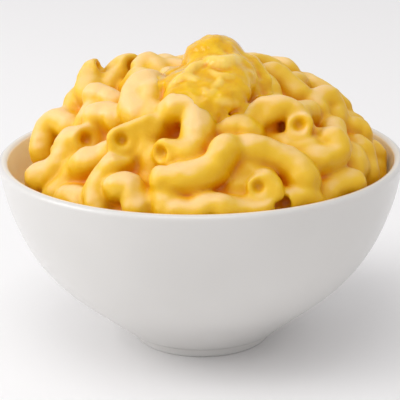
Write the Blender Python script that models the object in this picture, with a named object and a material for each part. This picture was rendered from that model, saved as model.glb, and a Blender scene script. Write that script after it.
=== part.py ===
"""Mac and cheese in its bowl: a turned porcelain bowl, the heap of elbow macaroni, and the melted cheese on top.

The origin is at the middle of the foot, on the table. +Z is up and the front, seen in the photo, is -Y.
"""
import math

import bmesh
import bpy
import numpy as np
from mathutils import Vector

MM = 0.001
GAP = 0.3 * MM                       # clearance between pieces that touch
TOUCH = 0.001 * MM                   # points nearer than this lie on one another
FLAT_ANGLE = math.radians(3.0)       # faces flatter to one another than this are made one
SHARP_ANGLE = math.radians(40)       # edges sharper than this aren't shaded smooth
SLOPE_STEP = 0.5 * MM                # slopes are measured over this much either way

# Colours, as linear red, green and blue
PORCELAIN_WHITE = (0.86, 0.85, 0.83)
SAUCE_ORANGE = (0.88, 0.55, 0.10)
CHEESE_YELLOW = (0.88, 0.58, 0.06)

# Bowl
RIM_RADIUS = 65.0 * MM
RIM_HEIGHT = 62.0 * MM
WALL = 3.0 * MM
LIP_ROUND = 1.1 * MM
FOOT_RADIUS = 22.0 * MM
FOOT_WIDTH = 3.5 * MM
FOOT_HEIGHT = 4.0 * MM
FOOT_RECESS = 2.5 * MM
# heights and radii of the outside, from the foot's neck up to the rim
BOWL_SIDE = tuple((z * MM, r * MM) for z, r in (
    (4.0, 25.5), (11.0, 34.0), (21.5, 46.5), (33.0, 55.5), (47.5, 61.8), (62.0, 65.0)))
BOWL_STEPS = 40
BOWL_CHORD = math.cos(math.pi / BOWL_STEPS)      # the turned wall's flats lie this much inside its circle
SIDE_STEPS = 8

# Camera of the photo, which the seen elbows are placed by
PHOTO_MIDDLE = 200.0                 # pixels
FOCAL = 1600.0                       # pixels
SIGHT_DOWN = math.radians(18.0)
SIGHT_ROLL = math.radians(-0.7)
SIGHT_LENGTH = 519.0 * MM
AIM = np.array((-0.4, 0.0, 45.8)) * MM

# Mound: the level at which the top layer's centre lines lie
MOUND_MIDDLE_X = 4.0 * MM
MOUND_WIDE = 54.0 * MM
MOUND_DEEP = 59.5 * MM
MOUND_EDGE_Z = 52.0 * MM
MOUND_RISE = 38.0 * MM
MOUND_BACK = 5.0 * MM                # how far the peak lies behind the middle
MOUND_POWER = 0.62
CORE_DROP = 3.8 * MM                 # the core's top lies this far under the centre lines
CORE_AROUND = 20
CORE_RINGS = 5

# Elbow macaroni, swollen and coated
ELBOW_RADIUS = 4.3 * MM
ELBOW_BORE = 2.3 * MM
BORE_DEPTH = 4.0 * MM
ELBOW_DIP = 6.0 * MM                 # how far a hidden end turns into the heap
SEEN_SIDES = 7
SEEN_RINGS = 6
FILL_SIDES = 6
FILL_RINGS = 5
LEAN = 0.8                           # how much a seen elbow's plane leans to the camera

# Photo pixels of each seen elbow's centre line, its lift in mm over the mound, what its two ends do (i turns in,
# e lies closed, o lies open, h opens half to the viewer, v opens to the viewer), and its width to the usual one
SEEN_ELBOWS = (
    (((71, 127), (58, 121), (47, 131), (42, 152)), 0.0, "ii", 1.0),
    (((82, 141), (72, 144), (66, 160), (54, 173), (40, 178)), 1.5, "hi", 1.1),
    (((56, 196), (70, 184), (80, 168)), -4.0, "ii", 1.0),
    (((88, 96), (79, 100), (76, 113)), -1.0, "ii", 1.0),
    (((91, 98), (89, 84), (92, 73), (100, 68)), -0.7, "io", 0.95),
    (((112, 94), (113, 80), (120, 72), (128, 69)), 0.5, "ih", 1.15),
    (((143, 70), (150, 65), (158, 73), (158, 90)), -1.0, "ii", 1.0),
    (((164, 74), (174, 71), (186, 76)), -3.0, "ii", 1.0),
    (((94, 95), (105, 96), (116, 103)), 1.5, "ii", 0.85),
    (((96, 117), (106, 116), (118, 120)), -0.5, "ii", 1.1),
    (((72, 128), (82, 124), (94, 132)), -4.0, "ii", 1.0),
    (((147, 84), (137, 92), (134, 106), (140, 118)), 1.5, "ii", 1.15),
    (((153, 92), (153, 106), (157, 120)), 0.0, "ii", 1.05),
    (((122, 140), (135, 134), (148, 128)), 2.0, "vi", 1.0),
    (((84, 164), (100, 160), (116, 152)), -2.5, "ii", 1.0),
    (((116, 166), (104, 176), (97, 192), (99, 208)), 0.0, "ii", 1.0),
    (((118, 188), (130, 187), (136, 202), (138, 212)), 1.0, "ii", 1.05),
    (((164, 180), (188, 178), (213, 169), (225, 150)), 2.0, "ei", 1.2),
    (((175, 108), (190, 108), (198, 124), (196, 146)), 1.0, "ii", 1.15),
    (((167, 153), (179, 152), (192, 157)), 0.0, "hi", 1.0),
    (((164, 196), (168, 210)), -1.0, "ii", 1.0),
    (((172, 213), (190, 214)), -1.0, "ii", 1.0),
    (((200, 212), (213, 206), (226, 211)), 0.0, "ii", 1.0),
    (((232, 212), (248, 211), (264, 207)), -1.0, "ii", 1.0),
    (((249, 150), (272, 155), (293, 166), (304, 179)), 1.0, "ii", 1.15),
    (((259, 187), (267, 182), (273, 196)), 0.8, "vi", 0.9),
    (((287, 203), (300, 201), (313, 202)), 3.0, "oi", 0.95),
    (((324, 198), (338, 186), (352, 184), (360, 192)), 0.0, "ii", 1.0),
    (((332, 140), (337, 150), (328, 158), (308, 164)), 3.0, "ii", 1.05),
    (((252, 117), (272, 109), (292, 110), (299, 125)), 2.5, "iv", 1.0),
    (((228, 132), (237, 128), (250, 136)), -2.0, "ii", 1.0),
    (((272, 76), (284, 84), (298, 96)), -1.0, "ii", 1.0),
    (((250, 70), (258, 80), (268, 94)), 0.0, "ii", 1.0),
    (((314, 116), (318, 102), (328, 98)), -1.0, "ii", 1.0),
    (((330, 104), (334, 114), (332, 126)), -2.0, "ii", 1.0),
    (((350, 130), (357, 130), (362, 140)), -0.5, "ii", 1.0),
    (((360, 148), (364, 162), (364, 180)), -2.0, "ii", 1.0),
    (((373, 152), (376, 162), (376, 174)), -3.0, "ii", 1.0),
    (((140, 148), (150, 154), (158, 166)), -5.0, "ii", 1.0),
    (((222, 112), (230, 120), (236, 136)), -6.0, "ii", 1.0),
    (((262, 116), (268, 124), (276, 138)), -9.0, "ii", 1.0),
    (((240, 193), (243, 181), (252, 170)), -4.5, "ii", 1.0),
)

# Elbows that cover the rest of the heap, drawn by a seeded rule
FILL_SEED = 8
FILL_PLACES = 600
FILL_TURNS = 12
FILL_BEND_RADIUS = (7.0 * MM, 9.5 * MM)
FILL_BEND = (math.radians(110), math.radians(170))
FILL_SINK = 2.0 * MM
FILL_SPACING = 0.60                  # of an elbow's width between two centre lines

# Melted cheese: lumps by photo pixel, lift over the mound, and half sizes across, up the slope and through
MELT_LUMPS = (
    ((207, 90), 3.0 * MM, (12.5 * MM, 12.0 * MM, 5.5 * MM)),
    ((214, 62), 3.5 * MM, (9.0 * MM, 9.5 * MM, 7.5 * MM)),
    ((228, 76), 3.0 * MM, (8.0 * MM, 9.0 * MM, 5.5 * MM)),
)
MELT_AROUND = 14
MELT_RINGS = 8


def unit(v):
    return v / np.linalg.norm(v)


def smooth_line(points, count):
    """A Catmull-Rom curve through the points, at even lengths."""
    points = np.asarray(points, float)
    ends = np.vstack([2 * points[0] - points[1], points, 2 * points[-1] - points[-2]])
    t = np.linspace(0, 1, 16)[:, None]
    runs = []
    for a, b, c, d in zip(ends, ends[1:], ends[2:], ends[3:]):
        curve = 2 * b + (c - a) * t + (2 * a - 5 * b + 4 * c - d) * t**2 + (3 * b - a - 3 * c + d) * t**3
        runs.append(0.5 * curve)
    line = np.concatenate([runs[0]] + [run[1:] for run in runs[1:]])
    along = np.concatenate([[0], np.cumsum(np.linalg.norm(np.diff(line, axis=0), axis=1))])
    even = np.linspace(0, along[-1], count)
    return np.stack([np.interp(even, along, line[:, k]) for k in range(line.shape[1])], -1)


# Photo camera

def sight_axes():
    forward = np.array((0, math.cos(SIGHT_DOWN), -math.sin(SIGHT_DOWN)))
    right = np.array((1.0, 0, 0))
    up = np.cross(right, forward)
    rolled_right = right * math.cos(SIGHT_ROLL) + up * math.sin(SIGHT_ROLL)
    rolled_up = up * math.cos(SIGHT_ROLL) - right * math.sin(SIGHT_ROLL)
    return forward, rolled_right, rolled_up


FORWARD, RIGHT, UP = sight_axes()
EYE = AIM - SIGHT_LENGTH * FORWARD


def sight_line(pixel):
    """Unit direction from the eye through a photo pixel."""
    x, y = pixel
    return unit(FORWARD + RIGHT * (x - PHOTO_MIDDLE) / FOCAL - UP * (y - PHOTO_MIDDLE) / FOCAL)


# Mound

def mound(x, y):
    """Height of the top layer's centre lines."""
    middle = np.clip(1 - (x**2 + y**2) / MOUND_DEEP**2, 0, 1)
    reach = ((x - MOUND_MIDDLE_X) / MOUND_WIDE) ** 2 + ((y - MOUND_BACK * middle) / MOUND_DEEP) ** 2
    return MOUND_EDGE_Z + MOUND_RISE * np.clip(1 - reach, 0, None) ** MOUND_POWER


def mound_normal(x, y):
    step = SLOPE_STEP
    slope_x = (mound(x + step, y) - mound(x - step, y)) / (2 * step)
    slope_y = (mound(x, y + step) - mound(x, y - step)) / (2 * step)
    return unit(np.array((-slope_x, -slope_y, 1.0)))


def on_mound(pixel, lift):
    """Where the sight line through a pixel first meets the raised mound, or comes nearest to it."""
    far = np.linspace(SIGHT_LENGTH - 80 * MM, SIGHT_LENGTH + 90 * MM, 1200)
    points = EYE + far[:, None] * sight_line(pixel)
    above = points[:, 2] - mound(points[:, 0], points[:, 1]) - lift
    above[np.hypot(points[:, 0], points[:, 1]) > MOUND_DEEP] = 1.0
    below = np.nonzero(above <= 0)[0]
    return points[below[0] if len(below) else np.argmin(above)]


# Bowl

def bowl_outside(z):
    """Outer radius at a height above the foot, smooth through BOWL_SIDE."""
    line = smooth_line(BOWL_SIDE, 80)
    return np.interp(z, line[:, 0], line[:, 1])


def wall_inside(z, clear=0.0):
    """Inner radius at a height: the outside less the wall and a clearance, measured square to the slope."""
    slope = (bowl_outside(z + SLOPE_STEP) - bowl_outside(z - SLOPE_STEP)) / (2 * SLOPE_STEP)
    return bowl_outside(z) - (WALL + clear) * np.sqrt(1 + slope**2)


def bowl_outline():
    """Radius and height from the middle of the inside, over the lip and down to the middle of the base."""
    floor = FOOT_HEIGHT + WALL
    inner_z = np.linspace(floor + 2.5 * MM, RIM_HEIGHT - LIP_ROUND, SIDE_STEPS)
    inner = [(0.0, floor), (0.55 * wall_inside(inner_z[0]), floor + 0.5 * MM)]
    inner += [(wall_inside(z), z) for z in inner_z[:-1]]
    lip_middle = RIM_RADIUS - WALL / 2
    lip = []
    for turn in np.linspace(math.pi, 0, 6):
        x = lip_middle + WALL / 2 * math.cos(turn)
        lip.append((x, RIM_HEIGHT - LIP_ROUND + LIP_ROUND * math.sin(turn)))
    outer = [(bowl_outside(z), z) for z in np.linspace(RIM_HEIGHT - LIP_ROUND, FOOT_HEIGHT, SIDE_STEPS + 1)[1:]]
    foot = [(FOOT_RADIUS + 0.8 * MM, 2.0 * MM), (FOOT_RADIUS, 0.0), (FOOT_RADIUS - FOOT_WIDTH, 0.0),
            (FOOT_RADIUS - FOOT_WIDTH - 0.8 * MM, FOOT_RECESS), (0.0, FOOT_RECESS)]
    return inner + lip + outer + foot


# Meshes

def finish(name, colour, rough):
    material = bpy.data.materials.new(name)
    material.use_nodes = True
    shader = material.node_tree.nodes["Principled BSDF"]
    shader.inputs["Base Color"].default_value = (*colour, 1.0)
    shader.inputs["Roughness"].default_value = rough
    shader.inputs["Metallic"].default_value = 0.0
    return material


def add_object(name, shape, material):
    """Puts a bmesh in an object of its own, smooth but for its sharp edges."""
    bmesh.ops.recalc_face_normals(shape, faces=shape.faces)
    mesh = bpy.data.meshes.new(name)
    shape.to_mesh(mesh)
    shape.free()
    mesh.shade_smooth()
    mesh.set_sharp_from_angle(angle=SHARP_ANGLE)
    mesh.materials.append(material)
    thing = bpy.data.objects.new(name, mesh)
    bpy.context.scene.collection.objects.link(thing)
    return thing


def turned(outline, steps):
    """A closed bmesh turned round Z from an outline that begins and ends on the axis."""
    shape = bmesh.new()
    points = [shape.verts.new((r, 0, z)) for r, z in outline]
    edges = [shape.edges.new(pair) for pair in zip(points, points[1:])]
    bmesh.ops.spin(shape, geom=points + edges, cent=(0, 0, 0), axis=(0, 0, 1),
                   angle=2 * math.pi, steps=steps, use_merge=True)
    bmesh.ops.remove_doubles(shape, verts=shape.verts, dist=0.01 * MM)
    return shape


def skin(shape, rings):
    """Joins rings of points, first to last, with quads and returns them as rows of vertices."""
    rows = [[shape.verts.new(p) for p in ring] for ring in rings]
    for low, high in zip(rows, rows[1:]):
        for k in range(len(low)):
            after = (k + 1) % len(low)
            shape.faces.new((low[k], low[after], high[after], high[k]))
    return rows


def close_row(shape, row, tip):
    """Closes a row of vertices with a fan to a tip point."""
    point = shape.verts.new(tip)
    for k in range(len(row)):
        shape.faces.new((row[k], row[(k + 1) % len(row)], point))


# Macaroni

def inside_bowl(line, width):
    """Draws a centre line in from the wall and the lip, so that the elbow clears them."""
    height = np.clip(line[:, 2], FOOT_HEIGHT + WALL, RIM_HEIGHT)
    room = wall_inside(height, ELBOW_RADIUS * width + GAP) * BOWL_CHORD
    reach = np.hypot(line[:, 0], line[:, 1])
    scale = np.minimum(1, room / np.maximum(reach, 1 * MM))
    return np.column_stack([line[:, 0] * scale, line[:, 1] * scale, line[:, 2]])


def seen_line(pixels, lift, ends, width, count):
    """Centre line of an elbow in the photo, on a plane that leans between the mound and the camera."""
    middle = on_mound(np.mean(pixels, axis=0), lift * MM)
    toward = unit(EYE - middle)
    out = unit(mound_normal(middle[0], middle[1]) + LEAN * toward)
    line = []
    for pixel in pixels:
        sight = sight_line(pixel)
        line.append(EYE + sight * (((middle - EYE) @ out) / (sight @ out)))
    start_run = unit(line[0] - line[1])
    stop_run = unit(line[-1] - line[-2])
    turn = {"i": lambda p, run: [p + 0.25 * ELBOW_DIP * run - 0.9 * ELBOW_DIP * out],
            "v": lambda p, run: [p + 0.5 * ELBOW_DIP * toward],
            "h": lambda p, run: [p + 0.3 * ELBOW_DIP * (toward + run)],
            "e": lambda p, run: [],
            "o": lambda p, run: []}
    line = turn[ends[0]](line[0], start_run) + line + turn[ends[1]](line[-1], stop_run)
    return inside_bowl(smooth_line(line, count), width)


def fill_line(rng, x, y, count):
    """An arc that lies at random on the mound at x, y."""
    out = mound_normal(x, y)
    heading = rng.uniform(0, 2 * math.pi)
    side = unit(np.cross(out, (math.cos(heading), math.sin(heading), 0.1)))
    along = np.cross(side, out)
    swing = rng.uniform(-1, 1) * math.radians(85)
    bow = out * math.cos(swing) + side * math.sin(swing)
    radius = rng.uniform(*FILL_BEND_RADIUS)
    bend = rng.uniform(*FILL_BEND)
    middle = np.array((x, y, mound(x, y) - rng.uniform(0, FILL_SINK)))
    turn = np.linspace(-bend / 2, bend / 2, count)
    return inside_bowl(middle + radius * (np.outer(np.cos(turn) - 1, bow) + np.outer(np.sin(turn), along)), 1.0)


def clearance(line, others):
    """Shortest way from a centre line to the centre lines before it."""
    gaps = np.linalg.norm(line[:, None] - others[None], axis=2)
    return gaps.min()


def fill_lines(seen):
    """Elbows over the rest of the mound: places on a sunflower spiral, each kept only where it finds room."""
    rng = np.random.default_rng(FILL_SEED)
    golden = math.pi * (3 - math.sqrt(5))
    taken = np.concatenate(seen)
    lines = []
    for k in range(FILL_PLACES):
        reach = ((k + 0.5) / FILL_PLACES) ** 0.42
        x = MOUND_MIDDLE_X + MOUND_WIDE * 0.97 * reach * math.cos(k * golden)
        y = MOUND_DEEP * 0.97 * reach * math.sin(k * golden)
        tries = [fill_line(rng, x, y, FILL_RINGS) for _ in range(FILL_TURNS)]
        room = [clearance(line, taken) for line in tries]
        best = int(np.argmax(room))
        if room[best] > FILL_SPACING * 2 * ELBOW_RADIUS:
            lines.append(tries[best])
            taken = np.concatenate([taken, tries[best]])
    return lines


def tube_rings(line, radius, sides):
    """Rings of points round a centre line, square to it, without twist."""
    along = np.gradient(line, axis=0)
    along /= np.linalg.norm(along, axis=1)[:, None]
    side = unit(np.cross(along[0], (0.3, 0.2, 1.0)))
    turn = np.linspace(0, 2 * math.pi, sides, endpoint=False)
    rings = []
    for point, way in zip(line, along):
        side = unit(side - way * (side @ way))
        other = np.cross(way, side)
        rings.append(point + radius * (np.outer(np.cos(turn), side) + np.outer(np.sin(turn), other)))
    return rings


def add_elbow(name, line, sides, ends, width, material):
    """One elbow: a bent tube, closed at hidden ends and bored where an end is open."""
    shape = bmesh.new()
    rings = tube_rings(line, ELBOW_RADIUS * width, sides)
    rows = skin(shape, rings)
    for row, ring, point, inward, kind in (
            (rows[0], rings[0], line[0], unit(line[1] - line[0]), ends[0]),
            (rows[-1], rings[-1], line[-1], unit(line[-2] - line[-1]), ends[1])):
        if kind in "ie":
            close_row(shape, row, point - inward * 0.3 * ELBOW_RADIUS)
            continue
        mouth = point + (ring - point) * (ELBOW_BORE / ELBOW_RADIUS)
        bored = [row] + [[shape.verts.new(p) for p in mouth + inward * deep] for deep in (0, BORE_DEPTH)]
        for low, high in zip(bored, bored[1:]):
            for k in range(sides):
                after = (k + 1) % sides
                shape.faces.new((low[k], low[after], high[after], high[k]))
        close_row(shape, bored[-1], point + inward * BORE_DEPTH)
    return add_object(name, shape, material)


def add_core(material):
    """The heap's core: up along the bowl's inside, then in over the mound to its peak."""
    floor = FOOT_HEIGHT + WALL + GAP
    edge_z = MOUND_EDGE_Z - CORE_DROP
    turn = np.linspace(0, 2 * math.pi, CORE_AROUND, endpoint=False)
    around = np.column_stack([np.cos(turn), np.sin(turn)])
    rings = []
    for z in np.linspace(floor + 2.5 * MM, edge_z, 6):
        radius = wall_inside(z, 2 * GAP) * BOWL_CHORD
        rings.append(np.column_stack([around * radius, np.full(CORE_AROUND, z)]))
    edge = rings[-1][:, :2]
    for part in np.linspace(0.94, 0.12, CORE_RINGS):
        flat = edge * part
        rings.append(np.column_stack([flat, mound(flat[:, 0], flat[:, 1]) - CORE_DROP]))
    shape = bmesh.new()
    rows = skin(shape, rings)
    close_row(shape, rows[0], (0, 0, floor + 0.8 * MM))
    close_row(shape, rows[-1], (0, 0, mound(0.0, 0.0) - CORE_DROP))
    return add_object("macaroni", shape, material)


def add_lump(name, pixel, lift, halves, grow, material):
    """An ellipsoid of cheese on the mound."""
    middle = on_mound(pixel, lift)
    out = mound_normal(middle[0], middle[1])
    across = unit(np.cross((0, 1, 0), out))
    slope = np.cross(out, across)
    axes = np.array([across, slope, out])
    turn = np.linspace(0, 2 * math.pi, MELT_AROUND, endpoint=False)
    halves = np.array(halves) + grow
    rings = []
    for polar in np.linspace(0, math.pi, MELT_RINGS + 1)[1:-1]:
        ball = np.column_stack([math.sin(polar) * np.cos(turn), math.sin(polar) * np.sin(turn),
                                np.full(MELT_AROUND, math.cos(polar))])
        rings.append(middle + (ball * halves) @ axes)
    shape = bmesh.new()
    rows = skin(shape, rings)
    close_row(shape, rows[0], middle + out * halves[2])
    close_row(shape, rows[-1], middle - out * halves[2])
    return add_object(name, shape, material)


# Joining

def combine(thing, others, operation):
    """One Boolean of an object with a collection of others, applied, and the others removed."""
    group = bpy.data.collections.new("pieces")
    for other in others:
        group.objects.link(other)
    modifier = thing.modifiers.new("join", "BOOLEAN")
    modifier.operation = operation
    modifier.operand_type = "COLLECTION"
    modifier.collection = group
    modifier.solver = "MANIFOLD"
    mesh = bpy.data.meshes.new_from_object(thing.evaluated_get(bpy.context.evaluated_depsgraph_get()))
    thing.modifiers.clear()
    thing.data = mesh
    for other in others:
        bpy.data.objects.remove(other)
    bpy.data.collections.remove(group)


def islands(shape):
    """The separate shells of a bmesh, as lists of faces. Shells that only touch along an edge are separate."""
    left = set(shape.faces)
    found = []
    while left:
        front = [left.pop()]
        island = list(front)
        while front:
            near = {g for f in front for e in f.edges if e.is_manifold for g in e.link_faces} & left
            left -= near
            front = list(near)
            island += front
        found.append(island)
    return found


def part_touching(shape):
    """Draws points that lie on one another a little way apart, each towards its own neighbours."""
    places = {}
    for point in shape.verts:
        places.setdefault(tuple(round(c / TOUCH) for c in point.co), []).append(point)
    for point in (p for group in places.values() if len(group) > 1 for p in group):
        around = [edge.other_vert(point).co for edge in point.link_edges]
        point.co = point.co.lerp(sum(around, Vector()) / len(around), 0.1)


def one_shell(thing):
    """Keeps the largest shell of what was joined, so that sealed hollows are filled and loose scraps dropped.

    Flat faces that the join split for nothing are made whole first.
    """
    shape = bmesh.new()
    shape.from_mesh(thing.data)
    bmesh.ops.dissolve_limit(shape, angle_limit=FLAT_ANGLE, verts=shape.verts, edges=shape.edges)
    bmesh.ops.triangulate(shape, faces=shape.faces)
    shells = sorted(islands(shape), key=len)
    for shell in shells[:-1]:
        bmesh.ops.delete(shape, geom=shell, context="FACES")
    loose = [v for v in shape.verts if not v.link_faces]
    bmesh.ops.delete(shape, geom=loose, context="VERTS")
    part_touching(shape)
    shape.to_mesh(thing.data)
    shape.free()
    thing.data.shade_smooth()
    thing.data.set_sharp_from_angle(angle=SHARP_ANGLE)


# The three pieces

def make_bowl():
    material = finish("white_porcelain", PORCELAIN_WHITE, 0.15)
    return add_object("bowl", turned(bowl_outline(), BOWL_STEPS), material)


def make_macaroni():
    material = finish("sauced_macaroni", SAUCE_ORANGE, 0.4)
    core = add_core(material)
    seen = [seen_line(pixels, lift, ends, width, SEEN_RINGS) for pixels, lift, ends, width in SEEN_ELBOWS]
    elbows = [add_elbow("elbow", line, SEEN_SIDES, ends, width, material)
              for line, (_, _, ends, width) in zip(seen, SEEN_ELBOWS)]
    elbows += [add_elbow("elbow", line, FILL_SIDES, "ii", 1.0, material) for line in fill_lines(seen)]
    combine(core, elbows, "UNION")
    room = [add_lump("room", *lump, 1.2 * GAP, material) for lump in MELT_LUMPS]
    combine(core, room, "DIFFERENCE")
    one_shell(core)
    return core


def make_melted_cheese():
    material = finish("melted_cheese", CHEESE_YELLOW, 0.3)
    first, *others = [add_lump("melted_cheese", *lump, 0.0, material) for lump in MELT_LUMPS]
    combine(first, others, "UNION")
    one_shell(first)
    return first


def main():
    for thing in list(bpy.data.objects):
        bpy.data.objects.remove(thing, do_unlink=True)
    make_bowl()
    make_macaroni()
    make_melted_cheese()


main()
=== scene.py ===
"""Mac and cheese in its bowl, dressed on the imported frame.

The bowl is glazed porcelain, the elbow macaroni lies in its sauce, and the melted cheese is on top.
Lengths are metres. +Z is up and the front, seen in the photo, is -Y.
"""
import math

import bpy
import numpy as np
from mathutils import Matrix, Vector


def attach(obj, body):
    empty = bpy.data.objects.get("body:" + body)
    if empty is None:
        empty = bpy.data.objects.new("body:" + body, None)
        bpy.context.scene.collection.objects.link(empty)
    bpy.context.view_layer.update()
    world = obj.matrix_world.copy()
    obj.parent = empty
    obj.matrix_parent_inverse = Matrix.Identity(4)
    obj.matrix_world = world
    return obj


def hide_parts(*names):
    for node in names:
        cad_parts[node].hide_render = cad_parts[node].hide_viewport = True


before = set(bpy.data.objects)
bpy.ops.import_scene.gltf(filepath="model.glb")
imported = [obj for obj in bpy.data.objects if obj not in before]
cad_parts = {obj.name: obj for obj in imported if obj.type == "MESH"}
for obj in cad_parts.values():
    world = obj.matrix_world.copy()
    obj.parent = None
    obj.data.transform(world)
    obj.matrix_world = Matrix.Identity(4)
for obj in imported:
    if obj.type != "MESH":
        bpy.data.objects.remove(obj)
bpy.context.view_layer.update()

MM = 0.001
RUN_STEPS = 16             # of a smooth line between two of its points

# Bowl: the same outline as the CAD bowl's
RIM_HEIGHT = 61.9 * MM
WALL = 3.0 * MM
LIP_RISE = 1.2 * MM        # the lip is rounded over this height
FOOT_RADIUS = 22.0 * MM
FOOT_WIDTH = 3.5 * MM
FOOT_HEIGHT = 4.0 * MM
FOOT_RECESS = 2.5 * MM
FOOT_LEAN = 0.8 * MM       # the foot ring is wider at its root than where it stands
BOWL_SIDE = tuple((z * MM, r * MM) for z, r in (
    (4.0, 25.5), (11.0, 34.0), (21.5, 46.5), (33.0, 55.5), (47.5, 61.8), (62.0, 65.0)))
BOWL_AROUND = 256
CAD_CHORD = math.cos(math.pi / 40)  # the CAD bowl has 40 flats, which lie this much inside its circle
BOUNCE_LIP_ROWS = 2              # rows of the lip painted with warm bounce light from the food, like the inner wall
BOUNCE_FADE_ROWS = 5             # and rows after them with less of it,
BOUNCE_FAINT = 0.4          # this share
WALL_ROOM = 0.1 * MM       # between the sauce and the wall
STRAIGHT_FROM = 61.0 * MM  # the wall is taken as upright above this height

# Camera of the photo
PHOTO_MIDDLE = 200.0       # pixels
FOCAL = 1600.0             # pixels
SIGHT_DOWN = math.radians(18.0)
SIGHT_ROLL = math.radians(-0.7)
SIGHT_LENGTH = 519.0 * MM
SIGHT_NEAR = SIGHT_LENGTH - 80 * MM  # what is looked for on a sight line lies between these
SIGHT_FAR = SIGHT_LENGTH + 90 * MM
SENSOR = 36.0              # millimetres
AIM = np.array((-0.4, 0.0, 45.8)) * MM

# Mound: the level at which the top layer's centre lines lie
MOUND_MIDDLE_X = 4.0 * MM
MOUND_WIDE = 54.0 * MM
MOUND_DEEP = 59.5 * MM
MOUND_EDGE_Z = 52.0 * MM
MOUND_RISE = 38.0 * MM
MOUND_BACK = 5.0 * MM
MOUND_POWER = 0.62
CORE_DROP = 4.9 * MM       # the pooled sauce lies this far under the centre lines
EDGE_RISE = 2.0 * MM       # and stands this much higher where it has run down to the bowl's edge
EDGE_FROM = 43.0 * MM      # the rise begins this far from the bowl's axis
EDGE_WIDTH = 9.0 * MM      # and is whole this much further out
POOL_SLOPE = 0.75          # a height over the sloping mound is about this much of its distance

# Elbow macaroni, swollen and coated
ELBOW_RADIUS = 4.3 * MM
ELBOW_BORE = 1.65 * MM
BORE_DEPTH = 3.0 * MM      # of the dimple that the sauce leaves in an open end
END_ROUND = 1.0 * MM       # an open end is cut this far past its centre line
END_CLEAR = 3.2 * MM       # the sauce leaves this much room before an end open to the viewer
ELBOW_DIP = 6.0 * MM       # how far an end that turns goes on past its last pixel, times
DIP_AHEAD = 0.25           # this straight on
DIP_UNDER = 0.9            # and this down, for one that turns in,
DIP_TOWARD = 0.5           # this towards the viewer for an open one,
DIP_HALF = 0.3             # or this both ways for a half open one
LAY_MARGIN = 4.0 * MM      # an elbow is worked out to this far round it
SWELL_SEED = 21
SWELL_RANGE = (-0.06, 0.04)  # no two elbows swell alike
SWELL_WAVE = 0.045         # nor does one along its length
GAP = 0.3 * MM
LEAN = 0.8                 # of a seen elbow's plane from the mound towards the viewer

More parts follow.
